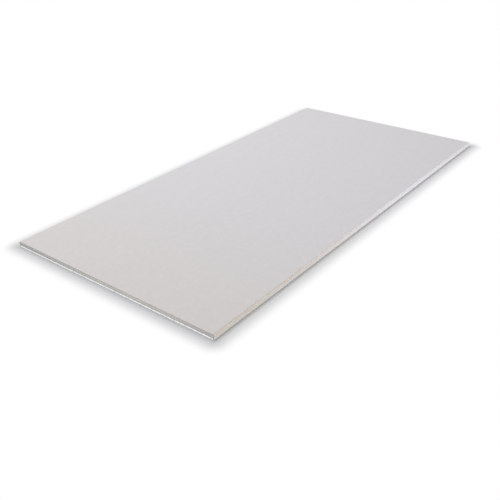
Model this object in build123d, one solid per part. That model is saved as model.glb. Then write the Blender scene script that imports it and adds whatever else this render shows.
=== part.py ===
from build123d import *
import os

# Foil-backed drywall sheet, lying face up on its foil. Sizes are in millimetres.
# The origin is the middle of the underside, +X runs along the sheet and +Z points out of its face.

# Board
SHEET_LENGTH = 1200.0
SHEET_WIDTH = 600.0
BOARD_THICKNESS = 12.5

# Long edges, where the face paper is folded round the gypsum and down to the back
FACE_ARRIS_RADIUS = 3.0
BACK_ARRIS_RADIUS = 2.0

# Foil film bonded to the back
FOIL_THICKNESS = 0.1
FOIL_SIDE_MARGIN = 0.5
FOIL_LIP_HEIGHT = 3.5


def gypsum_board():
    """Board with two paper-wrapped long edges and two square-cut ends, standing on the film."""
    with BuildPart() as board:
        with BuildSketch(Plane.YZ) as section:
            with Locations((0, FOIL_THICKNESS)):
                Rectangle(SHEET_WIDTH, BOARD_THICKNESS, align=(Align.CENTER, Align.MIN))
            back_arrises, face_arrises = section.vertices().group_by(Axis.Y)
            fillet(face_arrises, FACE_ARRIS_RADIUS)
            fillet(back_arrises, BACK_ARRIS_RADIUS)
        extrude(amount=SHEET_LENGTH / 2, both=True)
    return board.part


def foil_backing():
    """Film under the board, turned up over both cut ends, with a strip of bare paper at each long edge."""
    film_width = SHEET_WIDTH - 2 * (BACK_ARRIS_RADIUS + FOIL_SIDE_MARGIN)
    with BuildPart() as film:
        with BuildSketch(Plane.XZ) as section:
            Rectangle(
                SHEET_LENGTH + 2 * FOIL_THICKNESS,
                FOIL_THICKNESS + FOIL_LIP_HEIGHT,
                align=(Align.CENTER, Align.MIN),
            )
            # The fold at each end is centred on the board's own sharp arris
            folds = section.vertices().group_by(Axis.Y)[0]
            fillet(folds, FOIL_THICKNESS)
            with Locations((0, FOIL_THICKNESS)):
                Rectangle(
                    SHEET_LENGTH,
                    FOIL_LIP_HEIGHT,
                    align=(Align.CENTER, Align.MIN),
                    mode=Mode.SUBTRACT,
                )
        extrude(amount=film_width / 2, both=True)
    return film.part


os.makedirs("parts", exist_ok=True)
export_step(gypsum_board(), "parts/gypsum_board.step")
export_step(foil_backing(), "parts/foil_backing.step")
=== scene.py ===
import math
import random

import bmesh
import bpy
from mathutils import Matrix, Quaternion, Vector, noise


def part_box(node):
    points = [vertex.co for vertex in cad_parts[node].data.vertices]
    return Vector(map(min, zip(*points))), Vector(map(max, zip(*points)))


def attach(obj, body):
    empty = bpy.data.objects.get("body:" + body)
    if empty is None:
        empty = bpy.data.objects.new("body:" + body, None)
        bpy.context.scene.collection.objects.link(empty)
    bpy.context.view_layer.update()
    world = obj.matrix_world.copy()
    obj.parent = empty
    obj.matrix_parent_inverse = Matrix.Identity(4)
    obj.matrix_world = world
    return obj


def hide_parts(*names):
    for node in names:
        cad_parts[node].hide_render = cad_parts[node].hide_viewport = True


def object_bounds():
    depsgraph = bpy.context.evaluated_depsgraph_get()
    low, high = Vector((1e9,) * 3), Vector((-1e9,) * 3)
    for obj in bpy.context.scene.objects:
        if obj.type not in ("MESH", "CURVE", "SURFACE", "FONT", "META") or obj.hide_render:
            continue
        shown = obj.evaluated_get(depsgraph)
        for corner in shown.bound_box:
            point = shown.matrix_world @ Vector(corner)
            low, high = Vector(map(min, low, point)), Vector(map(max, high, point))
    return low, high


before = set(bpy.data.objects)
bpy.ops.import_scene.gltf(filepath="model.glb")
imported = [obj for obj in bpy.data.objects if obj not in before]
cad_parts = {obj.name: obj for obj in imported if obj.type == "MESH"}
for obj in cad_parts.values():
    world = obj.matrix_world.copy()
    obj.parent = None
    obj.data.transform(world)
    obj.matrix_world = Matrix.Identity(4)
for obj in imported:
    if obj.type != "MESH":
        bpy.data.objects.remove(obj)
CAD_LOW, CAD_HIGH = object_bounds()
BOARD_LOW, BOARD_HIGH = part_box("gypsum_board")
FILM_LOW, FILM_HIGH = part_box("foil_backing")

# Sizes and places are in metres. X runs along the sheet, Y across it and Z up.
# Patterns are in features per metre: along, across and up, or one number.
# Colours are red, green, blue and alpha.
MM = 0.001

# Meshes. Points within CLOSE are level, and faces with FACING_END of their normal along X face an end.
ALONG, ACROSS, UP = range(3)
CLOSE = 1e-7
FACING_END = 0.9
SHARP_ANGLE = math.radians(45.0)
OCTAVE_STEP = 2.0

# Board
FACE_ARRIS_RADIUS = 3.0 * MM
BACK_ARRIS_RADIUS = 2.0 * MM
FACE_ARRIS_STEPS = 8
BACK_ARRIS_STEPS = 6
PAPER_THICKNESS = 0.45 * MM
CORE_SINK = 0.3 * MM
CORE_STEP = 1.5 * MM
CORE_ROUGHNESS = 0.22 * MM
CORE_LUMPS = 260.0

# Order of the board's materials, after the face paper
CUT_PAPER = 1
CUT_GYPSUM = 2

# Film
FILM_SHEET = 0.02 * MM
FILM_FOLD = 0.08 * MM
FILM_FOLD_STEPS = 4
FILM_ROW = 8.0 * MM
FILM_COLUMN = 30.0 * MM

# Long wrinkles of the film, set in from the ends and spread over the middle
END_WRINKLES = (8.0 * MM, 19.0 * MM, 34.0 * MM, 58.0 * MM, 92.0 * MM)
MIDDLE_WRINKLES = 9
MIDDLE_CLEAR = 130.0 * MM
WRINKLE_SEED = 11
WRINKLE_SHIFT = 4.0 * MM
WRINKLE_LEAN = 0.025
WRINKLE_WIDTH = (1.4 * MM, 2.8 * MM)
WRINKLE_DEPTH = 0.075 * MM
WRINKLE_SHALLOWEST = 0.5
WRINKLE_CUTS = 6
WRINKLE_FADES = 9.0

# Steps in the noise that keep one wrinkle unlike the next, and one lip unlike the other
WRINKLE_UNLIKE = 3.7
LIP_UNLIKE = 3.0

# Lips of the film, over the cut ends
LIP_PLAIN = 2.0 * FILM_FOLD
LIP_ROW = 0.6 * MM
LIP_COLUMN = 2.0 * MM
LIP_RAGGED = 0.5 * MM
LIP_CRUMPLE = 0.16 * MM
LIP_TEARS = 160.0
LIP_FOLDS = 330.0
LIP_FOLD_RISE = 0.8

# Part of a noise's range that most of it lies in
NOISE_RANGE = (0.3, 0.7)

# Face paper
FACE_FIBRE_MM = (4.0, 0.6)
FIBRE_RELIEF = 0.08 * MM
FIBRE_COLOUR = (0.46, 0.435, 0.42, 1)
FIBRE_STRENGTH = 0.07
FIBRE_ROUGHNESS = 0.1
PAPER_ROUGHNESS = 0.82
PAPER_CLOUDS = (70.0, 95.0, 95.0)
PAPER_DARK = (0.671, 0.65, 0.662, 1)
PAPER_LIGHT = (0.697, 0.676, 0.687, 1)
STREAKS = (1.6, 80.0, 80.0)
STREAK_RANGE = (0.35, 0.65)
STREAK_COLOUR = (0.674, 0.652, 0.66, 1)
STREAK_STRENGTH = 0.4
SPECKS = 50.0
SPECK_RIM = (0.015, 0.045)
SPECK_COLOUR = (0.3, 0.27, 0.25, 1)
SPECK_STRENGTH = 0.3
# Painted warm light: the paper is tinted warm towards the near end, for warm light falling there
WARM_LIGHT_ALONG = (-650.0 * MM, 0.0)
WARM_LIGHT_TINT = (1.0, 0.985, 0.937, 1)

# Wear and painted shade of the long edges, which start and are full this far in from them
ARRIS_WEAR = (1.3 * FACE_ARRIS_RADIUS, 0.7 * FACE_ARRIS_RADIUS)
RUBS = (35.0, 260.0, 260.0)
RUB_LEAST = 0.6
# Tan ply where rubbed, mixed with painted shade: warmer and darker towards the near end and lighter low on
# the edge, for how light falls there
TAN_AND_SHADE_ALONG = (-400.0 * MM, 200.0 * MM)
TAN_AND_SHADE_UP = (2.0 * MM, 6.0 * MM)
TAN_AND_SHADE_AT_BACK = 0.55
TAN_AND_SHADE_COLOUR = (0.884, 0.791, 0.706, 1)
# Painted shade: the long edge at negative Y darkens towards the near end, for light falling off there
NEAR_END_SHADE_ALONG = (BOARD_LOW.x - 150.0 * MM, 150.0 * MM)
NEAR_END_SHADE_ACROSS = (-100.0 * MM, 100.0 * MM)
NEAR_END_SHADE_COLOUR = (0.78, 0.83, 0.82, 1)

# Cut paper
CUT_FIBRE_MM = (0.8, 0.3)
PLY_RELIEF = 0.1 * MM
PLY_DARK = (0.43, 0.4, 0.36, 1)
PLY_LIGHT = (0.58, 0.55, 0.51, 1)
PLY_DUST = (0.62, 0.59, 0.56, 1)
PLY_DUST_STRENGTH = 0.3

# Cut gypsum
GYPSUM_RELIEF = 0.3 * MM
CHALK = (300.0, 300.0, 300.0)
CHALK_DARK = (0.786, 0.762, 0.71, 1)
CHALK_LIGHT = (0.936, 0.906, 0.85, 1)
CHALK_SHARE = 0.6
DUST = (20.0, 20.0, 60.0)
DUST_RANGE = (0.4, 0.65)
DUST_COLOUR = (0.75, 0.72, 0.67, 1)
DUST_STRENGTH = 0.5
# Painted shade: the cut core greys away from this line across the sheet, for how light falls along the end
LEAST_SHADED_ACROSS = -60.0 * MM
CORE_SHADE_COLOUR = (0.78, 0.78, 0.785, 1)
PORES = 900.0
PORE_RIM = (0.1, 0.3)
PORE_COLOUR = (0.36, 0.34, 0.31, 1)
PORE_STRENGTH = 0.5
SAW_MARKS = (400.0, 500.0, 60.0)
SAW_MARK_SHARE = 0.4

# Silver film
SILVER_RELIEF = 0.8 * MM
SLACK = (28.0, 7.0, 28.0)
SLACK_DARK = (0.83, 0.845, 0.87, 1)
SLACK_LIGHT = (0.9, 0.91, 0.925, 1)
CREASES = (60.0, 22.0, 60.0)
CREASE_SHARE = 0.12
HAZE = (120.0, 40.0, 120.0)
HAZE_ROUGHNESS = (0.14, 0.26)
# Painted reflections: facet tones on the lips for crinkled film mirroring bright and dull surroundings
FACETS = (1.0, 330.0, 600.0)
FACET_RANGE = (0.1, 1.1)
FACET_REFLECTION_BRIGHT = (0.95, 0.96, 0.97, 1)
FACET_REFLECTION_DULL = (0.58, 0.59, 0.61, 1)
FACET_BENDS = 140.0
FACET_BEND = Vector((0.5, 3.0, 1.5)) * MM

# Studio
FLOOR_SIDE = 60.0
# Painted shade: within this distance of the sheet the floor is grey paint fading to white, a painted contact
# shadow over the real one
FLOOR_SHADE = 45.0 * MM
FLOOR_PAINT = (0.65, 0.65, 0.65, 1)
SURROUND_COLOUR = (1.0, 1.0, 1.0, 1)
SURROUND_LIGHT = 0.5
SURROUND_SEEN = 1.0

# Camera
CAMERA_PLACE = Vector((-1.32264, -0.9709, 0.7611))
CAMERA_AIM = Vector((-0.314, -0.1607, 0.0126))
CAMERA_ROLL_DEG = -1.383
CAMERA_LENS_MM = 47.805
CAMERA_SENSOR_MM = 36.0


# Node helpers

def add(tree, kind, settings=None, **inputs):
    """A new node, with its settings and the values or links of its inputs."""
    made = tree.nodes.new("ShaderNode" + kind)
    for name, value in (settings or {}).items():
        setattr(made, name, value)
    for name, value in inputs.items():
        put(tree, made.inputs[name.replace("_", " ")], value)
    return made


def put(tree, socket, value):
    """Links a socket to an input, or sets the input's own value."""
    if isinstance(value, bpy.types.NodeSocket):
        tree.links.new(value, socket)
    else:
        socket.default_value = value


def maths(tree, operation, *values):
    """The result of one sum on values."""
    made = add(tree, "Math", {"operation": operation})
    for socket, value in zip(made.inputs, values):
        put(tree, socket, value)
    return made.outputs[0]


def times(tree, *values):
    """The product of several values."""
    product = values[0]
    for value in values[1:]:
        product = maths(tree, "MULTIPLY", product, value)
    return product


def vectors(tree, operation, *values):
    """The node that does one sum on vectors."""
    made = add(tree, "VectorMath", {"operation": operation})
    for socket, value in zip(made.inputs, values):
        put(tree, socket, value)
    return made


def ramp(tree, value, low, high, to_low=0.0, to_high=1.0):
    """A smooth step from to_low at low to to_high at high."""
    made = add(tree, "MapRange", {"interpolation_type": "SMOOTHSTEP"}, Value=value)
    for name, number in zip(("From Min", "From Max", "To Min", "To Max"), (low, high, to_low, to_high)):
        put(tree, made.inputs[name], number)
    return made.outputs["Result"]


def blend(tree, factor, first, second, how="MIX"):
    """A colour mixed from two."""
    made = add(tree, "Mix", {"data_type": "RGBA", "blend_type": how})
    put(tree, made.inputs[0], factor)
    put(tree, made.inputs[6], first)
    put(tree, made.inputs[7], second)
    return made.outputs[2]


def blend_shaders(tree, factor, first, second):
    """A shader mixed from two."""
    made = add(tree, "MixShader", Fac=factor)
    put(tree, made.inputs[1], first.outputs[0])
    put(tree, made.inputs[2], second.outputs[0])
    return made


def scaled(tree, place, features):
    """Places scaled for a pattern with this many features per metre."""
    return add(tree, "Mapping", Vector=place, Scale=features).outputs[0]


def pattern(tree, place, features, detail=2.0, roughness=0.5):
    """Noise with this many features per metre."""
    spread = scaled(tree, place, features)
    made = add(tree, "TexNoise", Vector=spread, Scale=1.0, Detail=detail, Roughness=roughness)
    return made.outputs["Fac"]


def dots(tree, place, features):
    """Distance from the nearest of evenly strewn dots."""
    return add(tree, "TexVoronoi", Vector=place, Scale=features).outputs["Distance"]


def axes(tree, place):
    """The three parts of a place."""
    return add(tree, "SeparateXYZ", Vector=place).outputs


def new_material(name):
    """An empty material and its node tree."""
    made = bpy.data.materials.new(name)
    made.use_nodes = True
    made.node_tree.nodes.clear()
    return made, made.node_tree


def surface(tree, **inputs):
    """The material's shader and output."""
    shader = add(tree, "BsdfPrincipled", **inputs)
    add(tree, "OutputMaterial", Surface=shader.outputs[0])


def new_group(name, numbers, outputs):
    """A shader node group with number inputs and value outputs. Returns it with its two ends."""
    group = bpy.data.node_groups.new(name, "ShaderNodeTree")
    for label, value in numbers.items():
        socket = group.interface.new_socket(label, in_out="INPUT", socket_type="NodeSocketFloat")
        socket.default_value = value
    for label in outputs:
        group.interface.new_socket(label, in_out="OUTPUT", socket_type="NodeSocketFloat")
    return group, group.nodes.new("NodeGroupInput"), group.nodes.new("NodeGroupOutput")


# Materials

def paper_grain_group():
    """Fibres laid along the sheet and the cloudy formation of recycled paper."""
    length, width = FACE_FIBRE_MM
    sizes = {"Fibre Length": length, "Fibre Width": width}
    tree, given, made = new_group("paper_grain", sizes, ("Fibre", "Cloud"))
    place = add(tree, "TexCoord").outputs["Object"]
    per_length = maths(tree, "DIVIDE", 1.0 / MM, given.outputs["Fibre Length"])
    per_width = maths(tree, "DIVIDE", 1.0 / MM, given.outputs["Fibre Width"])
    fibres = add(tree, "CombineXYZ", X=per_length, Y=per_width, Z=per_width).outputs[0]
    fibre = pattern(tree, place, fibres, detail=3.0, roughness=0.6)
    cloud = pattern(tree, place, PAPER_CLOUDS, detail=4.0, roughness=0.6)
    put(tree, made.inputs["Fibre"], ramp(tree, fibre, *NOISE_RANGE))
    put(tree, made.inputs["Cloud"], ramp(tree, cloud, *NOISE_RANGE))
    return tree


def grain(tree, group, length, width):
    """Fibre and cloud masks from the grain group, for fibres of this size."""
    made = add(tree, "Group", {"node_tree": group})
    made.inputs["Fibre Length"].default_value = length
    made.inputs["Fibre Width"].default_value = width
    return made.outputs["Fibre"], made.outputs["Cloud"]


def edge_wear_and_shade(tree, place):
    """Where the paper folded round the long edges is rubbed to its tan ply, mixed with painted warm shade
    near one end and lighter low on the edge, and where one edge has painted shade near that end.
    """
    along, across, up = axes(tree, place)
    on_edge = ramp(tree, maths(tree, "ABSOLUTE", across), *(BOARD_HIGH.y - inward for inward in ARRIS_WEAR))
    rubs = pattern(tree, place, RUBS, detail=4.0, roughness=0.65)
    worn = times(tree, on_edge, ramp(tree, rubs, *NOISE_RANGE, RUB_LEAST, 1.0))
    # Tan ply and painted shade: darker and warmer towards the near end, lighter low on the edge
    tan_and_shade_end = ramp(tree, along, *TAN_AND_SHADE_ALONG, 1.0, 0.0)
    tan_and_shade_up = ramp(tree, up, *TAN_AND_SHADE_UP, TAN_AND_SHADE_AT_BACK, 1.0)
    # Painted shade on the long edge at negative Y, near the near end
    shaded_end = ramp(tree, along, *NEAR_END_SHADE_ALONG, 1.0, 0.0)
    shaded_side = ramp(tree, across, *NEAR_END_SHADE_ACROSS, 1.0, 0.0)
    return times(tree, worn, tan_and_shade_end, tan_and_shade_up), times(tree, worn, shaded_end, shaded_side)


def face_paper(group):
    """Pale grey liner with machine streaks and specks, with a painted warm light tint towards one end, and
    worn at its edges with painted shade mixed into the wear.
    """
    material, tree = new_material("face_paper")
    place = add(tree, "TexCoord").outputs["Object"]
    fibre, cloud = grain(tree, group, *FACE_FIBRE_MM)
    paper = blend(tree, cloud, PAPER_DARK, PAPER_LIGHT)
    streaks = pattern(tree, place, STREAKS, detail=3.0, roughness=0.55)
    paper = blend(tree, ramp(tree, streaks, *STREAK_RANGE, 0.0, STREAK_STRENGTH), paper, STREAK_COLOUR)
    # Painted warm light tint towards the near end
    warm_light = ramp(tree, axes(tree, place)["X"], *WARM_LIGHT_ALONG, 1.0, 0.0)
    paper = blend(tree, warm_light, paper, WARM_LIGHT_TINT, "MULTIPLY")
    paper = blend(tree, times(tree, fibre, FIBRE_STRENGTH), paper, FIBRE_COLOUR)
    speck = ramp(tree, dots(tree, place, SPECKS), *SPECK_RIM, SPECK_STRENGTH, 0.0)
    paper = blend(tree, speck, paper, SPECK_COLOUR)
    tan_and_shade, near_end_shade = edge_wear_and_shade(tree, place)
    # Tan ply where rubbed, with painted warm shade
    paper = blend(tree, tan_and_shade, paper, TAN_AND_SHADE_COLOUR, "MULTIPLY")
    # Painted shade near the near end
    paper = blend(tree, near_end_shade, paper, NEAR_END_SHADE_COLOUR, "MULTIPLY")
    bump = add(tree, "Bump", Strength=0.25, Distance=FIBRE_RELIEF, Height=fibre)
    roughness = maths(tree, "MULTIPLY_ADD", fibre, FIBRE_ROUGHNESS, PAPER_ROUGHNESS)
    surface(tree, Base_Color=paper, Roughness=roughness, Normal=bump.outputs[0])
    return material


def cut_paper(group):
    """The cut plies of the liner, seen edge on at the ends."""
    material, tree = new_material("cut_paper")
    fibre, cloud = grain(tree, group, *CUT_FIBRE_MM)
    plies = blend(tree, fibre, PLY_DARK, PLY_LIGHT)
    plies = blend(tree, times(tree, cloud, PLY_DUST_STRENGTH), plies, PLY_DUST)
    bump = add(tree, "Bump", Strength=0.4, Distance=PLY_RELIEF, Height=fibre)
    surface(tree, Base_Color=plies, Roughness=0.92, Normal=bump.outputs[0])
    return material


def cut_gypsum():
    """Sawn gypsum: chalky, with dust, pores and saw marks, and painted shade that greys it towards the
    corners.
    """
    material, tree = new_material("cut_gypsum")
    place = add(tree, "TexCoord").outputs["Object"]
    chalk = pattern(tree, place, CHALK, detail=4.0, roughness=0.6)
    core = blend(tree, ramp(tree, chalk, *NOISE_RANGE), CHALK_DARK, CHALK_LIGHT)
    dust = pattern(tree, place, DUST, detail=3.0)
    core = blend(tree, ramp(tree, dust, *DUST_RANGE, 0.0, DUST_STRENGTH), core, DUST_COLOUR)
    # Painted shade, greyer away from the least shaded line
    off_least_shaded = maths(tree, "SUBTRACT", axes(tree, place)["Y"], LEAST_SHADED_ACROSS)
    core_shade = ramp(tree, maths(tree, "ABSOLUTE", off_least_shaded), 0.0, BOARD_HIGH.y - LEAST_SHADED_ACROSS)
    core = blend(tree, core_shade, core, CORE_SHADE_COLOUR, "MULTIPLY")
    pore = ramp(tree, dots(tree, place, PORES), *PORE_RIM, PORE_STRENGTH, 0.0)
    core = blend(tree, pore, core, PORE_COLOUR)
    marks = times(tree, pattern(tree, place, SAW_MARKS), SAW_MARK_SHARE)
    height = maths(tree, "ADD", times(tree, chalk, CHALK_SHARE), marks)
    bump = add(tree, "Bump", Strength=0.6, Distance=GYPSUM_RELIEF, Height=height)
    surface(tree, Base_Color=core, Roughness=0.95, Normal=bump.outputs[0])
    return material


def painted_reflections(tree, place):
    """Painted reflections: bright and dull facet tones for crumpled film mirroring different surroundings.
    """
    bends = add(tree, "TexNoise", Vector=place, Scale=FACET_BENDS, Detail=2.0).outputs["Color"]
    bent = vectors(tree, "MULTIPLY_ADD", bends, FACET_BEND, place).outputs[0]
    facets = add(tree, "TexVoronoi", Vector=scaled(tree, bent, FACETS), Scale=1.0).outputs["Color"]
    reflection_tone = add(tree, "SeparateColor", Color=facets).outputs["Red"]
    return blend(tree, ramp(tree, reflection_tone, *FACET_RANGE), FACET_REFLECTION_BRIGHT, FACET_REFLECTION_DULL)


def silver_film():
    """Metallised film, bright and a little hazy, with broad slack, fine creases and crinkled lips that carry
    painted reflections.
    """
    material, tree = new_material("silver_film")
    place = add(tree, "TexCoord").outputs["Object"]
    slack = pattern(tree, place, SLACK)
    silver = blend(tree, slack, SLACK_DARK, SLACK_LIGHT)
    lip_face = FILM_HIGH.x - LIP_CRUMPLE
    from_middle = maths(tree, "ABSOLUTE", axes(tree, place)["X"])
    on_lip = ramp(tree, from_middle, lip_face - LIP_CRUMPLE, lip_face)
    # Painted reflections on the lips
    silver = blend(tree, on_lip, silver, painted_reflections(tree, place))
    ridged = {"noise_type": "RIDGED_MULTIFRACTAL"}
    creases = add(tree, "TexNoise", ridged, Vector=scaled(tree, place, CREASES), Scale=1.0, Detail=5.0)
    height = maths(tree, "MULTIPLY_ADD", creases.outputs["Fac"], CREASE_SHARE, slack)
    bump = add(tree, "Bump", Strength=0.35, Distance=SILVER_RELIEF, Height=height)
    haze = pattern(tree, place, HAZE, detail=4.0, roughness=0.6)
    roughness = ramp(tree, haze, *NOISE_RANGE, *HAZE_ROUGHNESS)
    surface(tree, Base_Color=silver, Metallic=1.0, Roughness=roughness, Normal=bump.outputs[0])
    return material


# Mesh helpers

def finish_piece(bm, name, materials, node):
    """Makes the mesh an object that stands for its CAD node."""
    mesh = bpy.data.meshes.new(name)
    bm.normal_update()
    for edge in bm.edges:
        edge.smooth = edge.calc_face_angle(0.0) < SHARP_ANGLE
    bm.to_mesh(mesh)
    bm.free()
    for material in materials:
        mesh.materials.append(material)
    piece = bpy.data.objects.new(name, mesh)
    bpy.context.collection.objects.link(piece)
    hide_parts(node)
    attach(piece, "root")


def everything(bm):
    """All the geometry of a mesh."""
    return [*bm.verts, *bm.edges, *bm.faces]


def with_rims(faces):
    """Faces with their own edges and corners, each once."""
    edges = dict.fromkeys(edge for face in faces for edge in face.edges)
    verts = dict.fromkeys(vert for face in faces for vert in face.verts)
    return [*faces, *edges, *verts]


def verts_of(geom):
    """The vertices among some geometry."""
    return [item for item in geom if isinstance(item, bmesh.types.BMVert)]


def faces_of(geom):
    """The faces among some geometry."""
    return [item for item in geom if isinstance(item, bmesh.types.BMFace)]


def end_faces(bm):
    """The faces that look along the sheet, out of its ends."""
    return [face for face in bm.faces if abs(face.normal.x) > FACING_END]


def runs_along(edge):
    """True for an edge that runs along the sheet."""
    return abs(edge.verts[0].co.x - edge.verts[1].co.x) > CLOSE


def cut(bm, geom, place, normal):
    """Cuts faces along a plane. Returns all the geometry given, with what the cut adds."""
    return bmesh.ops.bisect_plane(bm, geom=geom, dist=CLOSE, plane_co=place, plane_no=normal)["geom"]


def cut_evenly(bm, geom, axis, start, stop, step):
    """Cuts faces into strips about one step wide along an axis."""
    count = max(1, round((stop - start) / step))
    normal = Vector([float(i == axis) for i in range(3)])
    for i in range(1, count):
        geom = cut(bm, geom, normal * (start + (stop - start) * i / count), normal)
    return geom


def relief(place, falloff, octaves):
    """Noise about one half at a place, with finer octaves that fall off."""
    return 0.5 + 0.5 * noise.fractal(place, falloff, OCTAVE_STEP, octaves)


def held(value):
    """The value, held between 0 and 1."""
    return min(1.0, max(0.0, value))


# Board

def box_between(bm, low, high):
    """A box from its lowest corner to its highest."""
    place = Matrix.Translation((low + high) / 2) @ Matrix.Diagonal((*(high - low), 1.0))
    bmesh.ops.create_cube(bm, size=1.0, matrix=place)


def round_long_edges(bm, height, radius, steps):
    """Rounds the two long edges of the board at this height."""
    level = [e for e in bm.edges if all(abs(v.co.z - height) < CLOSE for v in e.verts)]
    along = [e for e in level if runs_along(e)]
    made = bmesh.ops.bevel(
        bm, geom=along, offset=radius, segments=steps, profile=0.5, affect="EDGES", material=-1
    )
    for face in made["faces"]:
        face.smooth = True


def rough_core(bm, end_face, inward):
    """Sinks the core a little behind the paper's cut edge and breaks up its surface."""
    bmesh.ops.inset_region(bm, faces=[end_face], thickness=PAPER_THICKNESS, use_even_offset=True)
    for face in {f for e in end_face.edges for f in e.link_faces} - {end_face}:
        face.material_index = CUT_PAPER
    sunk = bmesh.ops.extrude_face_region(bm, geom=with_rims([end_face]))["geom"]
    bmesh.ops.translate(bm, verts=verts_of(sunk), vec=inward * CORE_SINK)
    core = faces_of(sunk)[0]
    core.material_index = CUT_GYPSUM
    rim = set(core.verts)
    geom = cut_evenly(bm, with_rims([core]), ACROSS, BOARD_LOW.y, BOARD_HIGH.y, CORE_STEP)
    geom = cut_evenly(bm, geom, UP, BOARD_LOW.z, BOARD_HIGH.z, CORE_STEP)
    for vert in verts_of(geom):
        if vert not in rim:
            vert.co += inward * CORE_ROUGHNESS * relief(vert.co * CORE_LUMPS, falloff=0.7, octaves=4)
    for face in faces_of(geom):
        face.smooth = True


def board(materials):
    """The board: round long edges wrapped in paper, and cut ends with a rough core."""
    bm = bmesh.new()
    box_between(bm, BOARD_LOW, BOARD_HIGH)
    round_long_edges(bm, BOARD_HIGH.z, FACE_ARRIS_RADIUS, FACE_ARRIS_STEPS)
    round_long_edges(bm, BOARD_LOW.z, BACK_ARRIS_RADIUS, BACK_ARRIS_STEPS)
    bm.normal_update()
    for face in end_faces(bm):
        rough_core(bm, face, Vector((-math.copysign(1.0, face.normal.x), 0.0, 0.0)))
    finish_piece(bm, "board", materials, "gypsum_board")


# Film

def wrinkle_lines():
    """The film's long wrinkles across the sheet: place along it, lean, width and depth."""
    draw = random.Random(WRINKLE_SEED)
    places = [end * (FILM_HIGH.x - inward) for end in (-1.0, 1.0) for inward in END_WRINKLES]
    span = FILM_HIGH.x - MIDDLE_CLEAR
    places += [span * (2.0 * (i + 0.5) / MIDDLE_WRINKLES - 1.0) for i in range(MIDDLE_WRINKLES)]
    lines = []
    for place in places:
        place += draw.uniform(-1.0, 1.0) * WRINKLE_SHIFT
        lean = draw.uniform(-1.0, 1.0) * WRINKLE_LEAN
        width = draw.uniform(*WRINKLE_WIDTH)
        depth = draw.uniform(WRINKLE_SHALLOWEST, 1.0) * WRINKLE_DEPTH
        lines.append((place, lean, width, depth))
    return lines


def hang(lines, spot):
    """How far the wrinkles hang off the board at a spot."""
    total = 0.0
    for i, (place, lean, width, depth) in enumerate(lines):
        aside = (spot.x - place - lean * spot.y) / width
        if abs(aside) < 0.5:
            fade = 0.5 + 0.5 * noise.noise(Vector((WRINKLE_UNLIKE * i, spot.y * WRINKLE_FADES, 0.0)))
            total += depth * fade * math.cos(math.pi * aside) ** 2
    return total


def folded_film(bm, flat):
    """The film's outer side: flat under the board, folded up over both ends."""
    place = Matrix.Translation((0.0, 0.0, flat)) @ Matrix.Diagonal((FILM_HIGH.x, FILM_HIGH.y, 1.0, 1.0))
    bmesh.ops.create_grid(bm, x_segments=1, y_segments=1, size=1.0, matrix=place)
    bmesh.ops.reverse_faces(bm, faces=bm.faces[:])
    ends = [e for e in bm.edges if not runs_along(e)]
    lips = bmesh.ops.extrude_edge_only(bm, edges=ends)["geom"]
    bmesh.ops.translate(bm, verts=verts_of(lips), vec=(0.0, 0.0, FILM_HIGH.z - flat))
    bmesh.ops.bevel(
        bm, geom=ends, offset=FILM_FOLD, segments=FILM_FOLD_STEPS, profile=0.5, affect="EDGES", material=-1
    )


def wrinkle(bm, flat):
    """Cuts the long wrinkles into the flat film and lets them hang off the board."""
    lines = wrinkle_lines()
    geom = cut_evenly(bm, everything(bm), ALONG, FILM_LOW.x, FILM_HIGH.x, FILM_COLUMN)
    for place, lean, width, _ in lines:
        across = Vector((1.0, -lean, 0.0)).normalized()
        for i in range(WRINKLE_CUTS + 1):
            aside = width * (i / WRINKLE_CUTS - 0.5)
            geom = cut(bm, geom, Vector((place + aside, 0.0, flat)), across)
    cut_evenly(bm, geom, ACROSS, FILM_LOW.y, FILM_HIGH.y, FILM_ROW)
    for vert in [v for v in bm.verts if abs(v.co.z - flat) < CLOSE]:
        vert.co.z -= min(hang(lines, vert.co), flat - FILM_LOW.z)


def crumple_lips(bm, flat):
    """Tears the top of each lip to an uneven height and crumples it against the core."""
    lip_start = flat + LIP_PLAIN
    geom = cut_evenly(bm, with_rims(end_faces(bm)), UP, lip_start, FILM_HIGH.z, LIP_ROW)
    geom = cut_evenly(bm, geom, ACROSS, FILM_LOW.y, FILM_HIGH.y, LIP_COLUMN)
    for vert in verts_of(geom):
        rise = (vert.co.z - lip_start) / (FILM_HIGH.z - lip_start)
        if rise > 0.0:
            end = math.copysign(LIP_UNLIKE, vert.co.x)
            tear_spot = Vector((end, vert.co.y * LIP_TEARS, 0.0))
            fold_spot = Vector((end, vert.co.y * LIP_FOLDS, rise * LIP_FOLD_RISE))
            torn = relief(tear_spot, falloff=0.6, octaves=4)
            folds = relief(fold_spot, falloff=0.8, octaves=3)
            vert.co.z -= rise * LIP_RAGGED * held(torn)
            vert.co.x -= math.copysign(rise * LIP_CRUMPLE * held(folds), vert.co.x)


def film(materials):
    """The film on the board's back, wrinkled below and crumpled over the cut ends."""
    bm = bmesh.new()
    flat = BOARD_LOW.z - FILM_SHEET
    folded_film(bm, flat)
    wrinkle(bm, flat)
    bm.normal_update()
    crumple_lips(bm, flat)
    bm.normal_update()
    bmesh.ops.solidify(bm, geom=everything(bm), thickness=FILM_SHEET)
    for face in bm.faces:
        face.smooth = True
    finish_piece(bm, "film", materials, "foil_backing")


# Studio

def sight(tree):
    """1 for what the camera sees, and 1 for what a mirror or a pane shows. Other rays light the object."""
    path = add(tree, "LightPath").outputs
    return path["Is Camera Ray"], maths(tree, "MAXIMUM", path["Is Glossy Ray"], path["Is Transmission Ray"])


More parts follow.
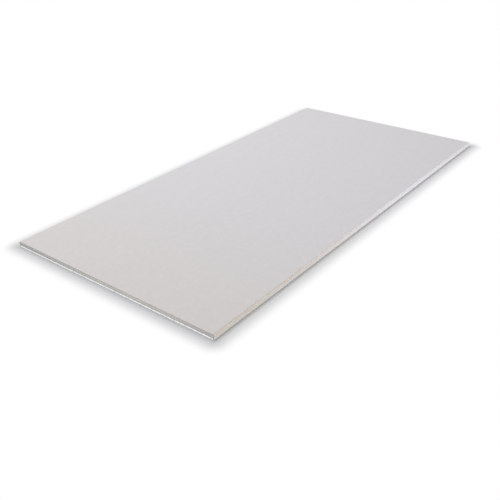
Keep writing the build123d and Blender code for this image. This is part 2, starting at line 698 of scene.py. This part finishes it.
def off_sheet(tree):
    """Distance on the floor from the outline of the sheet."""
    place = add(tree, "TexCoord").outputs["Object"]
    from_middle = vectors(tree, "ABSOLUTE", place).outputs[0]
    past_edge = vectors(tree, "SUBTRACT", from_middle, Vector((CAD_HIGH.x, CAD_HIGH.y, 0.0))).outputs[0]
    outside = vectors(tree, "MAXIMUM", past_edge, Vector()).outputs[0]
    return vectors(tree, "LENGTH", outside).outputs["Value"]


def floor_paint():
    """Grey paint close to the sheet that takes its real shadow and adds a painted shade round its outline,
    fading to plain white further off, and clear from below.
    """
    material, tree = new_material("studio_floor")
    seen, mirrored = sight(tree)
    # Painted shade: grey paint near the sheet, fading to white by FLOOR_SHADE
    far = ramp(tree, off_sheet(tree), 0.0, FLOOR_SHADE)
    paint = add(tree, "BsdfDiffuse", Color=FLOOR_PAINT)
    white = add(tree, "Emission", Strength=1.0)
    top = blend_shaders(tree, maths(tree, "MAXIMUM", times(tree, far, seen), mirrored), paint, white)
    clear = add(tree, "BsdfTransparent")
    both = blend_shaders(tree, add(tree, "NewGeometry").outputs["Backfacing"], top, clear)
    add(tree, "OutputMaterial", Surface=both.outputs[0])
    return material


def floor():
    """The floor that the sheet lies on."""
    bm = bmesh.new()
    bmesh.ops.create_grid(bm, x_segments=1, y_segments=1, size=FLOOR_SIDE / 2)
    mesh = bpy.data.meshes.new("floor")
    bm.to_mesh(mesh)
    bm.free()
    mesh.materials.append(floor_paint())
    made = bpy.data.objects.new("floor", mesh)
    bpy.context.collection.objects.link(made)


def softbox(name, place, aim, size, watts, colour):
    """A soft rectangular light, turned towards its aim."""
    light = bpy.data.lights.new(name, "AREA")
    light.shape = "RECTANGLE"
    light.size, light.size_y = size
    light.energy = watts
    light.color = colour
    made = bpy.data.objects.new(name, light)
    made.location = place
    made.rotation_mode = "QUATERNION"
    made.rotation_quaternion = (Vector(aim) - Vector(place)).to_track_quat("-Z", "Y")
    bpy.context.collection.objects.link(made)


def studio():
    """A white surround that lights softly, with one soft light overhead and one at the side."""
    world = bpy.data.worlds.new("studio")
    bpy.context.scene.world = world
    world.use_nodes = True
    tree = world.node_tree
    tree.nodes.clear()
    looked_at = maths(tree, "MAXIMUM", *sight(tree))
    strength = ramp(tree, looked_at, 0.0, 1.0, SURROUND_LIGHT, SURROUND_SEEN)
    surround = add(tree, "Background", Color=SURROUND_COLOUR, Strength=strength)
    add(tree, "OutputWorld", Surface=surround.outputs[0])
    softbox(
        "overhead", place=(0.0, 0.9, 2.2), aim=(0.0, 0.2, 0.0), size=(2.6, 1.2),
        watts=32.3, colour=(0.943, 0.951, 1.0),
    )
    softbox(
        "side", place=(-0.4, -3.6, 0.3), aim=(0.2, -0.3, 0.0), size=(2.4, 0.5),
        watts=76.0, colour=(0.95, 0.96, 1.0),
    )


def camera():
    """The camera, at the photograph's angle."""
    data = bpy.data.cameras.new("camera")
    data.lens = CAMERA_LENS_MM
    data.sensor_width = CAMERA_SENSOR_MM
    made = bpy.data.objects.new("camera", data)
    made.location = CAMERA_PLACE
    made.rotation_mode = "QUATERNION"
    level = (CAMERA_AIM - CAMERA_PLACE).to_track_quat("-Z", "Y")
    made.rotation_quaternion = level @ Quaternion((0.0, 0.0, 1.0), math.radians(CAMERA_ROLL_DEG))
    bpy.context.collection.objects.link(made)
    bpy.context.scene.camera = made


paper_grain = paper_grain_group()
board([face_paper(paper_grain), cut_paper(paper_grain), cut_gypsum()])
film([silver_film()])
floor()
studio()
camera()
bpy.context.scene.view_settings.view_transform = "Standard"
